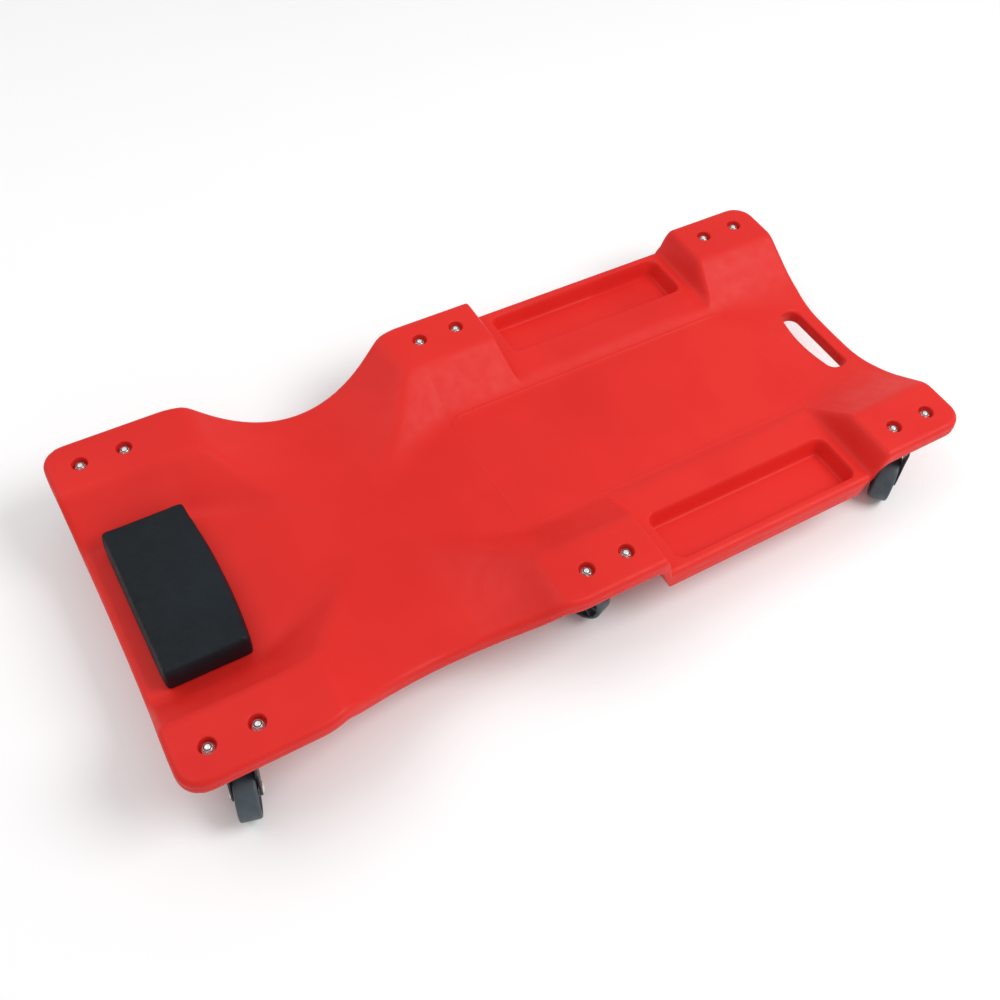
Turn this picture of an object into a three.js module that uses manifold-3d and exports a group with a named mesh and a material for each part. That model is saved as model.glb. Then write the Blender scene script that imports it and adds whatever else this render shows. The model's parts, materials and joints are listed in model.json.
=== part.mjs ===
// Mechanics creeper: a low moulded board on six swivel casters, with a padded headrest.
// Millimetres, +Z up. The origin is on the floor under the middle of the board.
// +X points to the foot end, and -Y is the right-hand side of somebody lying face up.

import * as THREE from "three";
import { mergeVertices } from "three/addons/utils/BufferGeometryUtils.js";
import Module from "manifold-3d";

const wasm = await Module();
wasm.setup();

// ---------------------------------------------------------------- driving dimensions

const GAP = 0.3; // left between separate pieces that touch

// Board outline
const LENGTH = 1020;
const HALF_WIDTH = 238; // at the head end
const TAPER = 4.5; // half width lost by the foot end
const CORNER_RADIUS = 28;
const HEAD_EDGE_BOW = { depth: 2.8, halfWidth: 190, reach: 110 };
const FOOT_EDGE_BOW = { depth: 3.5, halfWidth: 85, reach: 110 };
const ARM_CUT = { x: -205, y: 200, spread: 500, fillet: 14 };

// Board heights above the floor
const PAD_TOP = 120.5;
const WALL = 20;
const DISH_DEPTH = 42.5;
const FOOT_DIP = 8;
const DISH_ROUND = { inside: 6, footEdge: 28 }; // along the foot of the dish's sides
const PAD_EDGE = 162; // |y| where the raised caster pads begin
const ARM_RELIEF = { depth: 41.5, drop: 9, rise: 51, halfLength: 128 };
const TOP_ROUND = 7;
const BOTTOM_ROUND = 3;

// Side trays
const TRAY = { x0: 85, x1: 353, y0: 152, y1: 222, depth: 22, draft: 7, radius: 10 };
const TRAY_SHELF_DEPTH = 33.5;
const TRAY_BOX_DEPTH = 63;
const SHELF_START = { top: 55, bottom: 66 }; // x of the step down from the middle pads
const SHELF_END = { bottom: 369, top: 385 }; // x of the slope up to the foot pads
const SHELF_RUN_UP = 18; // both slopes run on this far above the pads
const SHELF_FILLET = 16; // at the foot of the slope up to the foot pads
const SHELF_EDGE_ROUND = { trays: 6, footPads: 18 }; // where the shelf's edges meet the dish and pads
const BOX_START = { top: 50, bottom: 69 }; // the same two slopes on the underside,
const BOX_END = { bottom: 353, top: 392 }; // the second one curved

// Hand slot near the foot edge, with its long side nearer the head bowed
const SLOT = { x0: 454, x1: 484.5, length: 114, radius: 13, bow: 6 };

// Caster places: the middle of each pair of bolts, and the rest angle of the right-hand one
const CASTERS = [
  { name: "head", x: -445, rest: 255 },
  { name: "middle", x: -5, rest: 112 },
  { name: "foot", x: 445, rest: 217 },
];
const CASTER_Y = 200;
const BOLT_PITCH = 52.4;

// Caster
const WHEEL = { radius: 31.5, width: 24, bore: 4.3 };
const TRAIL = 21;
const AXLE_RADIUS = 4;
const FORK = { wall: 2.4, sideGap: 1.4, crownTop: 89.5, crownRadius: 22, bossRadius: 8.5 };
const PLATE = { length: 78, width: 44, thickness: 2.6, raceRadius: 19.5, raceHeight: 7.6 };
const KINGPIN = { radius: 5, headRadius: 8.5, headHeight: 2.6 };

// Fasteners
const BOLT = { radius: 3, head: 5, headHeight: 4 };
const NUT = { across: 10, flangeRadius: 6.9, flange: 1.4, height: 6.4 };
const COUNTERBORE = { radius: 9.4, floor: 110.5 };
const SCREW = { radius: 2.4, headRadius: 5, headHeight: 2.6, y: 60 };

// Headrest
const REST = { x: -434.5, length: 96, width: 202, top: 113, bow: 6 };
const BOARD = { length: 78, width: 174, thickness: 8 };

// ---------------------------------------------------------------- materials

const standard = (color, roughness, metalness) =>
  new THREE.MeshStandardMaterial({ color, roughness, metalness });

const MATERIALS = {
  deck: standard(0xe0342f, 0.55, 0),
  vinyl: standard(0x20282d, 0.5, 0),
  board: standard(0x2a2622, 0.8, 0),
  tyre: standard(0x3f4d55, 0.6, 0),
  bracket: standard(0x17191b, 0.45, 0.6),
  zinc: standard(0xc8ccd0, 0.3, 1),
};

// ---------------------------------------------------------------- solids

// A closed mesh as a solid for joining and cutting.
function solid(geometry) {
  const bare = geometry.index ? geometry.toNonIndexed() : geometry.clone();
  bare.deleteAttribute("normal");
  bare.deleteAttribute("uv");
  const merged = mergeVertices(bare, 1e-4);
  return new wasm.Manifold(new wasm.Mesh({
    numProp: 3,
    vertProperties: new Float32Array(merged.attributes.position.array),
    triVerts: new Uint32Array(merged.index.array),
  }));
}

function geometryOf(manifold) {
  const mesh = manifold.getMesh();
  const geometry = new THREE.BufferGeometry();
  geometry.setAttribute("position", new THREE.BufferAttribute(new Float32Array(mesh.vertProperties), 3));
  geometry.setIndex(new THREE.BufferAttribute(new Uint32Array(mesh.triVerts), 1));
  geometry.computeVertexNormals();
  return geometry;
}

const cut = (geometry, ...tools) =>
  geometryOf(tools.reduce((left, tool) => left.subtract(solid(tool)), solid(geometry)));

const join = (geometry, ...others) =>
  geometryOf(others.reduce((sum, other) => sum.add(solid(other)), solid(geometry)));

function add(group, name, geometry, material) {
  const mesh = new THREE.Mesh(geometry, material);
  mesh.name = name;
  group.add(mesh);
  return mesh;
}

// A solid of revolution about Z from points [radius, z] that start and end on the axis.
function turned(points, segments = 20) {
  const profile = points.map(([radius, z]) => new THREE.Vector2(radius, z));
  return new THREE.LatheGeometry(profile, segments).rotateX(Math.PI / 2);
}

function upright(radius, z0, z1, segments = 20) {
  return turned([[0, z0], [radius, z0], [radius, z1], [0, z1]], segments);
}

// A rounded rectangle, with its +X side bowed outwards by this much.
function roundedRectangle(halfX, halfY, radius, bow = 0) {
  const shape = new THREE.Shape();
  shape.absarc(halfX - radius, halfY - radius, radius, 0, Math.PI / 2);
  shape.absarc(radius - halfX, halfY - radius, radius, Math.PI / 2, Math.PI);
  shape.absarc(radius - halfX, radius - halfY, radius, Math.PI, 1.5 * Math.PI);
  shape.absarc(halfX - radius, radius - halfY, radius, 1.5 * Math.PI, 2 * Math.PI);
  if (bow > 0) {
    shape.quadraticCurveTo(halfX + 2 * bow, 0, halfX, halfY - radius);
  }
  return shape;
}

function slab(shape, z0, z1, curveSegments = 6) {
  const options = { depth: z1 - z0, bevelEnabled: false, curveSegments };
  return new THREE.ExtrudeGeometry(shape, options).translate(0, 0, z0);
}

// ---------------------------------------------------------------- the board's surface

const clamp = THREE.MathUtils.clamp;

// The lower or higher of two values, with their crossing rounded over a span of k.
function softMin(a, b, k) {
  const h = Math.max(k - Math.abs(a - b), 0) / k;
  return Math.min(a, b) - h * h * k / 4;
}

const softMax = (a, b, k) => -softMin(-a, -b, k);

// Straight from v0 at x0 to v1 at x1, and level outside them.
const ramp = (x, x0, v0, x1, v1) => v0 + (v1 - v0) * clamp((x - x0) / (x1 - x0), 0, 1);

// How far an edge rounded at this radius falls, at this distance in from the edge.
function edgeFall(distance, radius) {
  const d = clamp(radius - distance, 0, radius);
  return radius - Math.sqrt(radius * radius - d * d);
}

function halfWidth(x) {
  const inset = LENGTH / 2 - Math.abs(x);
  const full = HALF_WIDTH - TAPER * (x / LENGTH + 0.5);
  const side = full - edgeFall(inset, CORNER_RADIUS);
  const fromCut = x - ARM_CUT.x;
  const arm = ARM_CUT.y + fromCut * fromCut / ARM_CUT.spread;
  return softMin(side, arm, ARM_CUT.fillet);
}

// Depth of the dish below the pads on the centre line.
const dishDepth = (x) => DISH_DEPTH + FOOT_DIP * THREE.MathUtils.smoothstep(x, 385, 495);

// |y| where the dish floor turns up towards the pads: narrow at the waist and at the foot edge.
function dishFloorHalf(x) {
  const headSide = ramp(x, -378, 109.5, -230, 35);
  const footSide = ramp(x, -180, 35, -45, 97) - ramp(x, 385, 0, 475, 19);
  return x < ARM_CUT.x ? headSide : footSide;
}

// Height of the dish's sloping side, which rises from its floor to the pads.
const dishSide = (x, y) => (Math.abs(y) - PAD_EDGE) * dishDepth(x) / (PAD_EDGE - dishFloorHalf(x));

// Height of the trough that runs out to each arm cut-out and falls a little towards it.
function armRelief(x, y) {
  const along = (x - ARM_CUT.x) / ARM_RELIEF.halfLength;
  const out = Math.abs(y) / ARM_CUT.y;
  return ARM_RELIEF.rise * along * along * Math.sqrt((out + 0.03) / 1.1)
    - ARM_RELIEF.drop * out * out - ARM_RELIEF.depth;
}

// Height of the dish and the pads beside it.
function dishHeight(x, y) {
  const round = ramp(x, 385, DISH_ROUND.inside, 480, DISH_ROUND.footEdge);
  return softMax(-dishDepth(x), softMin(0, dishSide(x, y), 4), round);
}

// Height of the top surface, before the rim is rounded.
function topHeight(x, y) {
  const body = softMin(dishHeight(x, y), armRelief(x, y), 5);
  const shelfIn = ramp(x, SHELF_START.top, SHELF_RUN_UP, SHELF_START.bottom, -TRAY_SHELF_DEPTH);
  const along = (x - SHELF_END.bottom) / (SHELF_END.top - SHELF_END.bottom);
  const slope = -TRAY_SHELF_DEPTH + (TRAY_SHELF_DEPTH + SHELF_RUN_UP) * Math.min(along, 1);
  const shelf = Math.max(shelfIn, softMax(-TRAY_SHELF_DEPTH, slope, SHELF_FILLET));
  const round = ramp(x, 300, SHELF_EDGE_ROUND.trays, 366, SHELF_EDGE_ROUND.footPads);
  return PAD_TOP + softMin(body, shelf, round);
}

// Height of the underside: one wall below the top, and a flat-bottomed box under the trays.
function bottomHeight(x, y) {
  const boxIn = ramp(x, BOX_START.top, -WALL, BOX_START.bottom, -TRAY_BOX_DEPTH);
  const boxOut = -WALL - (TRAY_BOX_DEPTH - WALL) * ramp(x, BOX_END.bottom, 1, BOX_END.top, 0) ** 2;
  const box = Math.max(boxIn, boxOut, -dishDepth(x) - WALL);
  return PAD_TOP + Math.min(dishHeight(x, y) - WALL, armRelief(x, y) - WALL, box);
}

// Grid lines across and along the board: close together where the surface turns.
const ACROSS = [0, 45, 86, 97, 102, 110, 135, 158, 164, 190, 218, 231, 236, 237.7, 238];
const INNER = 164; // grid lines inside this |y| are straight, and outside it follow the outline
const ALONG = [
  0, 1, 4, 9, 18, 32, 75, 125, 160, 176, 195, 220, 248, 278, 305, 332, 362, 390, 415, 434, 450,
  490, 560, 567, 576, 579, 700, 850, 863, 872, 878, 883, 888, 893, 902, 912, 950, 988, 1002, 1011,
  1016, 1019, 1020,
];

// Both end edges bow in a little, and the last stretch of grid lines follows them.
function endBow(x, y) {
  const bow = x > 0 ? FOOT_EDGE_BOW : HEAD_EDGE_BOW;
  const reach = ramp(Math.abs(x), LENGTH / 2 - bow.reach, 0, LENGTH / 2, 1);
  return -Math.sign(x) * bow.depth * reach * Math.max(0, 1 - (y / bow.halfWidth) ** 2);
}

// The board starts as a box with these grid lines, and every corner is moved to its place.
function boardBlank() {
  const lines = [...ACROSS.slice(1).reverse().map((y) => -y), ...ACROSS];
  const nx = ALONG.length - 1;
  const ny = lines.length - 1;
  const geometry = new THREE.BoxGeometry(nx, ny, 1, nx, ny, 1);
  const position = geometry.attributes.position;
  for (let i = 0; i < position.count; i += 1) {
    const x = ALONG[Math.round(position.getX(i) + nx / 2)] - LENGTH / 2;
    const line = lines[Math.round(position.getY(i) + ny / 2)];
    const side = halfWidth(x);
    const stretch = (side - INNER) / (HALF_WIDTH - INNER);
    const beyond = Math.max(Math.abs(line) - INNER, 0);
    const y = Math.sign(line) * (Math.min(Math.abs(line), INNER) + beyond * stretch);
    const inset = Math.min(side - Math.abs(y), LENGTH / 2 - Math.abs(x));
    const isTop = position.getZ(i) > 0;
    const z = isTop
      ? topHeight(x, y) - edgeFall(inset, TOP_ROUND)
      : bottomHeight(x, y) + edgeFall(inset, BOTTOM_ROUND);
    position.setXYZ(i, x + endBow(x, y), y, z);
  }
  return geometry;
}

// A tray pocket with walls that lean in towards its floor.
function trayPocket(side) {
  const x = (TRAY.x0 + TRAY.x1) / 2;
  const y = (TRAY.y0 + TRAY.y1) / 2;
  const halfX = (TRAY.x1 - TRAY.x0) / 2;
  const halfY = (TRAY.y1 - TRAY.y0) / 2;
  const extra = 4; // the cutter stands this far above the rim
  const rim = PAD_TOP - TRAY_SHELF_DEPTH;
  const pocket = slab(roundedRectangle(halfX, halfY, TRAY.radius), 0, TRAY.depth + extra, 4);
  const position = pocket.attributes.position;
  for (let i = 0; i < position.count; i += 1) {
    const lean = (position.getZ(i) - TRAY.depth) / TRAY.depth * TRAY.draft;
    const px = position.getX(i);
    const py = position.getY(i);
    position.setX(i, px * (halfX + lean) / halfX);
    position.setY(i, py * (halfY + lean) / halfY);
  }
  return pocket.translate(x, side * y, rim - TRAY.depth);
}

function handSlot() {
  const halfX = (SLOT.x1 - SLOT.x0) / 2;
  const shape = roundedRectangle(halfX, SLOT.length / 2, SLOT.radius, SLOT.bow);
  return slab(shape, 20, PAD_TOP).rotateZ(Math.PI).translate(SLOT.x0 + halfX, 0, 0);
}

const boltPlaces = CASTERS.flatMap(({ x }) =>
  [-1, 1].flatMap((side) => [-1, 1].map((end) => [x + end * BOLT_PITCH / 2, side * CASTER_Y])));

function board() {
  const cutters = [trayPocket(-1), trayPocket(1), handSlot()];
  for (const [x, y] of boltPlaces) {
    const seat = turned([[0, 20], [3.6, 20], [3.6, COUNTERBORE.floor],
      [COUNTERBORE.radius, COUNTERBORE.floor], [COUNTERBORE.radius + 0.4, PAD_TOP + 5],
      [0, PAD_TOP + 5]], 12);
    cutters.push(seat.translate(x, y, 0));
  }
  for (const side of [-1, 1]) {
    cutters.push(upright(SCREW.radius + GAP, 20, PAD_TOP, 10).translate(REST.x, side * SCREW.y, 0));
  }
  return cut(boardBlank(), ...cutters);
}

// ---------------------------------------------------------------- headrest

const DISH_FLOOR = PAD_TOP - DISH_DEPTH;
const BOARD_TOP = DISH_FLOOR + GAP + BOARD.thickness;

function headrestBoard() {
  const shape = roundedRectangle(BOARD.length / 2, BOARD.width / 2, 8);
  const plain = slab(shape, DISH_FLOOR + GAP, BOARD_TOP, 3);
  const holes = [-1, 1].map((side) =>
    upright(SCREW.radius + GAP, 20, BOARD_TOP - 1.5, 10).translate(0, side * SCREW.y, 0));
  return cut(plain, ...holes).translate(REST.x, 0, 0);
}

// The cushion is a rounded block, hollow underneath where the board sits.
function headrestPad() {
  const halfX = REST.length / 2;
  const halfY = REST.width / 2;
  const bottom = DISH_FLOOR + GAP;
  const block = slab(roundedRectangle(halfX, halfY, 8, REST.bow), bottom, REST.top - 6, 4);
  const crown = slab(roundedRectangle(halfX - 2, halfY - 2, 7, REST.bow), REST.top - 7, REST.top - 2, 4);
  const top = slab(roundedRectangle(halfX - 5, halfY - 5, 6, REST.bow), REST.top - 3, REST.top, 4);
  const pocket = slab(roundedRectangle(BOARD.length / 2 + GAP, BOARD.width / 2 + GAP, 8),
    20, BOARD_TOP + GAP, 3);
  return cut(join(block, crown, top), pocket).translate(REST.x, 0, 0);
}

function headrestScrew() {
  const under = bottomHeight(REST.x, SCREW.y) - GAP;
  return turned([[0, under - SCREW.headHeight], [SCREW.headRadius, under - SCREW.headHeight],
    [SCREW.headRadius, under], [SCREW.radius, under], [SCREW.radius, BOARD_TOP - 2],
    [0, BOARD_TOP - 2]], 12);
}

// ---------------------------------------------------------------- casters

const PLATE_TOP = PAD_TOP - WALL - GAP;
const PLATE_BOTTOM = PLATE_TOP - PLATE.thickness;
const INSIDE = WHEEL.width / 2 + FORK.sideGap;
const OUTSIDE = INSIDE + FORK.wall;

function mountingPlate() {
  const outline = slab(roundedRectangle(PLATE.length / 2, PLATE.width / 2, 14),
    PLATE_BOTTOM, PLATE_TOP, 4);
  const r = PLATE.raceRadius;
  const low = PLATE_BOTTOM - PLATE.raceHeight;
  const race = turned([[0, low + 1], [r - 4, low + 1], [r - 3, low], [r, low], [r, low + 2],
    [r - 3, PLATE_BOTTOM + 0.5], [0, PLATE_BOTTOM + 0.5]], 16);
  const holes = [-1, 1].map((end) =>
    upright(BOLT.radius + GAP, 60, 120, 8).translate(end * BOLT_PITCH / 2, 0, 0));
  return cut(join(outline, race), upright(KINGPIN.radius + GAP, 60, 120, 12), ...holes);
}

// The fork in its own frame: swivel axis on Z, wheel trailing towards +X, axle along Y.
function fork() {
  const crown = FORK.crownRadius;
  const axle = WHEEL.radius;
  const boss = FORK.bossRadius;
  const side = new THREE.Shape();
  side.moveTo(-crown + 3, FORK.crownTop);
  side.lineTo(-crown, FORK.crownTop - 4);
  side.lineTo(-crown + 2, FORK.crownTop - 14);
  side.lineTo(TRAIL - boss, axle - 1);
  side.absarc(TRAIL, axle, boss, Math.PI, 2 * Math.PI);
  side.lineTo(TRAIL + boss + 1, axle + 16);
  side.lineTo(crown + 6, FORK.crownTop - 12);
  side.lineTo(crown + 3, FORK.crownTop);
  const options = { depth: 2 * OUTSIDE, bevelEnabled: false, curveSegments: 6 };
  const block = new THREE.ExtrudeGeometry(side, options).rotateX(Math.PI / 2).translate(0, OUTSIDE, 0);
  const well = new THREE.BoxGeometry(120, 2 * INSIDE, 80);
  well.translate(10, 0, FORK.crownTop - 2.6 - 40);
  const disc = upright(crown, FORK.crownTop - 2.6, FORK.crownTop, 16);
  const bore = upright(KINGPIN.radius + GAP, 60, 120, 12);
  const axleBore = new THREE.CylinderGeometry(AXLE_RADIUS + GAP, AXLE_RADIUS + GAP, 60, 12);
  axleBore.translate(TRAIL, 0, axle);
  return cut(join(cut(block, well), disc), bore, axleBore);
}

function kingpin() {
  const { radius, headRadius, headHeight } = KINGPIN;
  const under = FORK.crownTop - 2.6 - GAP;
  return turned([[0, under - headHeight], [headRadius - 2, under - headHeight],
    [headRadius, under - 1], [headRadius, under], [radius, under], [radius, PLATE_TOP],
    [0, PLATE_TOP]], 12);
}

// A wheel about Y at its axle: a flat tread with rounded shoulders and dished sides.
function wheel() {
  const { radius, width, bore } = WHEEL;
  const half = width / 2;
  const outer = [[half, bore], [half, 9.5], [half - 3, 11], [half - 3, 22], [half, 24.5],
    [half, radius - 2.5], [half - 2.5, radius]];
  const profile = [
    ...outer.map(([y, r]) => new THREE.Vector2(r, y)),
    ...outer.slice().reverse().map(([y, r]) => new THREE.Vector2(r, -y)),
    new THREE.Vector2(bore, half),
  ];
  return new THREE.LatheGeometry(profile.reverse(), 22).translate(TRAIL, 0, radius);
}

function axle() {
  const reach = OUTSIDE + GAP;
  const head = AXLE_RADIUS + 2.4;
  const profile = [[0, -reach - 2.4], [head - 1.4, -reach - 2.4], [head, -reach - 0.8], [head, -reach],
    [AXLE_RADIUS, -reach], [AXLE_RADIUS, reach], [head, reach], [head, reach + 0.8],
    [head - 1.4, reach + 2.4], [0, reach + 2.4]];
  const points = profile.map(([r, y]) => new THREE.Vector2(r, y));
  return new THREE.LatheGeometry(points, 12).translate(TRAIL, 0, WHEEL.radius);
}

function bolt() {
  const top = PLATE_BOTTOM - GAP;
  const head = new THREE.CylinderGeometry(BOLT.head / Math.cos(Math.PI / 6),
    BOLT.head / Math.cos(Math.PI / 6), BOLT.headHeight, 6).rotateX(Math.PI / 2);
  head.translate(0, 0, top - BOLT.headHeight / 2);
  return join(head, upright(BOLT.radius, top - 1, COUNTERBORE.floor + GAP + NUT.height + 0.8, 8));
}

function nut() {
  const floor = COUNTERBORE.floor + GAP;
  const hexRadius = NUT.across / 2 / Math.cos(Math.PI / 6);
  const body = new THREE.CylinderGeometry(hexRadius - 0.3, hexRadius, NUT.height, 6);
  body.rotateX(Math.PI / 2).translate(0, 0, floor + NUT.height / 2);
  const flange = turned([[0, floor], [NUT.flangeRadius, floor], [NUT.flangeRadius, floor + 0.8],
    [hexRadius, floor + NUT.flange], [0, floor + NUT.flange]], 12);
  return cut(join(body, flange), upright(BOLT.radius + GAP, 60, 140, 8));
}

// One caster with its fasteners: the fork, wheel and axle turn together to the rest angle.
function caster({ name, x, rest }, side) {
  const hand = side < 0 ? "right" : "left";
  const label = (piece) => `${name}_${hand}_${piece}`;
  const group = new THREE.Group();
  group.position.set(x, side * CASTER_Y, 0);
  add(group, label("plate"), mountingPlate(), MATERIALS.bracket);
  add(group, label("kingpin"), kingpin(), MATERIALS.zinc);
  for (const [end, offset] of [["a", -BOLT_PITCH / 2], ["b", BOLT_PITCH / 2]]) {
    add(group, label(`bolt_${end}`), bolt(), MATERIALS.zinc).position.x = offset;
    add(group, label(`nut_${end}`), nut(), MATERIALS.zinc).position.x = offset;
  }
  const swivel = new THREE.Group();
  swivel.rotation.z = THREE.MathUtils.degToRad(side < 0 ? rest : -rest);
  add(swivel, label("fork"), fork(), MATERIALS.bracket);
  add(swivel, label("wheel"), wheel(), MATERIALS.tyre);
  add(swivel, label("axle"), axle(), MATERIALS.zinc);
  group.add(swivel);
  return group;
}

// ---------------------------------------------------------------- assembly

const creeper = new THREE.Group();
add(creeper, "deck", board(), MATERIALS.deck);
add(creeper, "headrest_board", headrestBoard(), MATERIALS.board);
add(creeper, "headrest_pad", headrestPad(), MATERIALS.vinyl);
for (const [hand, side] of [["right", -1], ["left", 1]]) {
  const screw = add(creeper, `headrest_screw_${hand}`, headrestScrew(), MATERIALS.zinc);
  screw.position.set(REST.x, side * SCREW.y, 0);
}
for (const place of CASTERS) {
  creeper.add(caster(place, -1), caster(place, 1));
}

export default creeper;
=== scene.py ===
"""Mechanics creeper: the visual model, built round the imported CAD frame.

Shapes are worked out in millimetres and scaled to metres when a mesh is made. Places come from
the frame: the nodes' boxes and the joints' positions.
"""
import json
import math

import bmesh
import bpy
import numpy as np
from mathutils import Matrix, Vector


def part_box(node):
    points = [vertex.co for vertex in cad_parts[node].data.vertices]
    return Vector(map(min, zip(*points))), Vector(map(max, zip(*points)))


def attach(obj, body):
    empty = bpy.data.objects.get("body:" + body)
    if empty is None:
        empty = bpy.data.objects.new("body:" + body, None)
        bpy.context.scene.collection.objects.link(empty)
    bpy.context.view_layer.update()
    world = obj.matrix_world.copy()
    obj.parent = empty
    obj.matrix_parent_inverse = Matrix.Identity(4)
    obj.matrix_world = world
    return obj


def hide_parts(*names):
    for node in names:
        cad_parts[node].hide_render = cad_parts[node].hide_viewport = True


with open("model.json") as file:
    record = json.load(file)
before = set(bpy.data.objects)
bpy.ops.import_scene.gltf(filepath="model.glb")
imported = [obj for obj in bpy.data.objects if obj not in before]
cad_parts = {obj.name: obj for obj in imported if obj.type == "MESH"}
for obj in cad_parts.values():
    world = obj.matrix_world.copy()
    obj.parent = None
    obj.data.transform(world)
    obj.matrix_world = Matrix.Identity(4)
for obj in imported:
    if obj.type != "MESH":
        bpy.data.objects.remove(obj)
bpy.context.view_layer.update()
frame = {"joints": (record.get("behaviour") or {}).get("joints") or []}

MM = 0.001
HANDS = ("right", "left")
PLACES = ("head", "middle", "foot")
SHARP_ANGLE = 35  # degrees: edges sharper than this are shaded as edges
AXIS_RADIUS = 0.02  # the least radius of a turned body, where it closes on its axis
GAP = 0.3  # between pieces that touch


# ------------------------------------------------------------------ mesh helpers

def new_piece(name, verts_mm, faces):
    """An object from vertices in millimetres, smooth shaded except across sharp angles."""
    mesh = bpy.data.meshes.new(name)
    mesh.from_pydata([tuple(v) for v in np.asarray(verts_mm, float) * MM], [], faces)
    mesh.update()
    shade(mesh, SHARP_ANGLE)
    piece = bpy.data.objects.new(name, mesh)
    bpy.context.scene.collection.objects.link(piece)
    return piece


def shade(mesh, sharp_angle):
    bm = bmesh.new()
    bm.from_mesh(mesh)
    bmesh.ops.recalc_face_normals(bm, faces=bm.faces)
    limit = math.radians(sharp_angle)
    for face in bm.faces:
        face.smooth = True
    for edge in bm.edges:
        if len(edge.link_faces) == 2:
            edge.smooth = edge.calc_face_angle(0) < limit
    bm.to_mesh(mesh)
    bm.free()


def dress(piece, material, slot, body, *nodes):
    """Gives a piece its material and body, and hides the CAD nodes that it stands for."""
    piece.data.materials.clear()
    piece.data.materials.append(material)
    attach(piece, body)
    if nodes:
        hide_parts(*nodes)
    return piece


def loops_mesh(loops):
    """Vertices and faces of a body from closed loops of equal length, capped at both ends."""
    count = len(loops[0])
    verts = np.concatenate([np.asarray(loop, float) for loop in loops])
    faces = []
    for k in range(len(loops) - 1):
        for i in range(count):
            j = (i + 1) % count
            faces.append((k * count + i, k * count + j, (k + 1) * count + j, (k + 1) * count + i))
    faces.append(tuple(reversed(range(count))))
    last = (len(loops) - 1) * count
    faces.append(tuple(range(last, last + count)))
    return verts, faces


def circle(radius, z, segments):
    angles = np.arange(segments) * 2 * math.pi / segments
    return np.stack([np.cos(angles) * radius, np.sin(angles) * radius, np.full(segments, z)], 1)


def lathe(profile, segments=40):
    """A turned body about Z from (radius, z) points, lowest first."""
    return loops_mesh([circle(max(r, AXIS_RADIUS), z, segments) for r, z in profile])


def ring_mesh(loops):
    """Vertices and faces of a ring from loops of equal length, the last joined to the first."""
    count = len(loops[0])
    faces = []
    for k in range(len(loops)):
        n = (k + 1) % len(loops)
        for i in range(count):
            j = (i + 1) % count
            faces.append((k * count + i, k * count + j, n * count + j, n * count + i))
    return np.concatenate(loops), faces


def arc_points(cx, cy, radius, start, end, count):
    """Points on an arc, with angles in degrees."""
    return [(cx + radius * math.cos(math.radians(a)), cy + radius * math.sin(math.radians(a)))
            for a in np.linspace(start, end, count)]


def combine(piece, other, operation):
    """Cuts, joins or intersects a piece with another, which is used up."""
    modifier = piece.modifiers.new("combine", "BOOLEAN")
    modifier.operation = operation
    modifier.solver = "EXACT"
    modifier.object = other
    apply_modifiers(piece)
    bpy.data.objects.remove(other)


def bevel(piece, width_mm, limit=40, segments=2):
    """Rounds the sharp edges of a piece."""
    modifier = piece.modifiers.new("bevel", "BEVEL")
    modifier.width = width_mm * MM
    modifier.segments = segments
    modifier.limit_method = "ANGLE"
    modifier.angle_limit = math.radians(limit)
    modifier.miter_outer = "MITER_ARC"
    apply_modifiers(piece)


def apply_modifiers(piece):
    evaluated = piece.evaluated_get(bpy.context.evaluated_depsgraph_get())
    mesh = bpy.data.meshes.new_from_object(evaluated)
    piece.modifiers.clear()
    old = piece.data
    piece.data = mesh
    bpy.data.meshes.remove(old)


# ------------------------------------------------------------------ materials

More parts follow.
